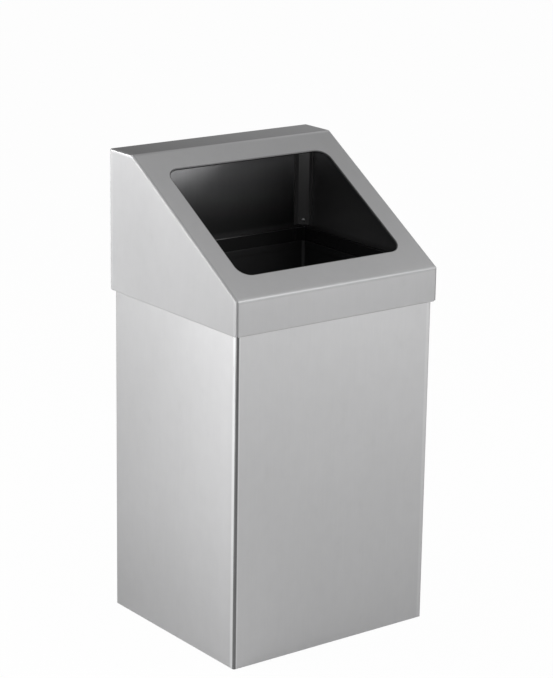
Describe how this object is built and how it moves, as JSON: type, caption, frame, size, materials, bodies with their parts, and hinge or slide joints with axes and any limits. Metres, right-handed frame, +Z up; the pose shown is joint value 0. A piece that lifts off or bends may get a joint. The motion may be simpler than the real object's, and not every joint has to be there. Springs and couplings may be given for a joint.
{
  "type": "hooded waste receptacle",
  "caption": "Free-standing rectangular stainless waste receptacle with a removable steel liner and a lift-off hood whose sloped face has a wide open mouth.",
  "frame": {"origin": "on the floor, under the middle of the body and hood", "axes": "+Z up, front skirt and sloped face towards -Y, +X to the right of someone who stands in front"},
  "size_m": [0.356, 0.316, 0.702],
  "materials": {
    "satin_stainless": "satin, fine grain along the sheet",
    "black_coated_steel": "black powder coat, fine orange peel",
    "zinc_plated": "zinc plated",
    "black_rubber": "matt moulded rubber"
  },
  "bodies": {
    "body": {"body_wrap": "satin_stainless", "body_back_panel": "satin_stainless", "base_pan": "satin_stainless", "foot_front_left": "black_rubber", "foot_front_right": "black_rubber", "foot_rear_left": "black_rubber", "foot_rear_right": "black_rubber", "foot_screw_front_left": "zinc_plated", "foot_screw_front_right": "zinc_plated", "foot_screw_rear_left": "zinc_plated", "foot_screw_rear_right": "zinc_plated"},
    "liner": {"liner_shell": "black_coated_steel", "liner_base": "black_coated_steel", "liner_clip_left_front": "zinc_plated", "liner_clip_left_rear": "zinc_plated", "liner_clip_right_front": "zinc_plated", "liner_clip_right_rear": "zinc_plated"},
    "handle_left": {"liner_handle_left": "zinc_plated"},
    "handle_right": {"liner_handle_right": "zinc_plated"},
    "hood": {"hood_face_sheet": "satin_stainless", "hood_side_left": "satin_stainless", "hood_side_right": "satin_stainless", "hood_post_left": "satin_stainless", "hood_post_right": "satin_stainless", "hood_pad_left": "black_rubber", "hood_pad_right": "black_rubber", "hood_rivet_left": "zinc_plated", "hood_rivet_right": "zinc_plated"}
  },
  "joints": [
    {"name": "liner_lift", "type": "slide", "parent": "body", "child": "liner", "axis": [0, 0, 1], "range_m": [0, 0.56]},
    {"name": "hood_lift", "type": "slide", "parent": "liner", "child": "hood", "axis": [0, 0, 1], "range_m": [0, 0.3]},
    {"name": "handle_left_swing", "type": "hinge", "parent": "liner", "child": "handle_left", "pos_m": [-0.1655, 0, 0.494], "axis": [0, -1, 0], "range_deg": [0, 170]},
    {"name": "handle_right_swing", "type": "hinge", "parent": "liner", "child": "handle_right", "pos_m": [0.1655, 0, 0.494], "axis": [0, 1, 0], "range_deg": [0, 170]}
  ]
}
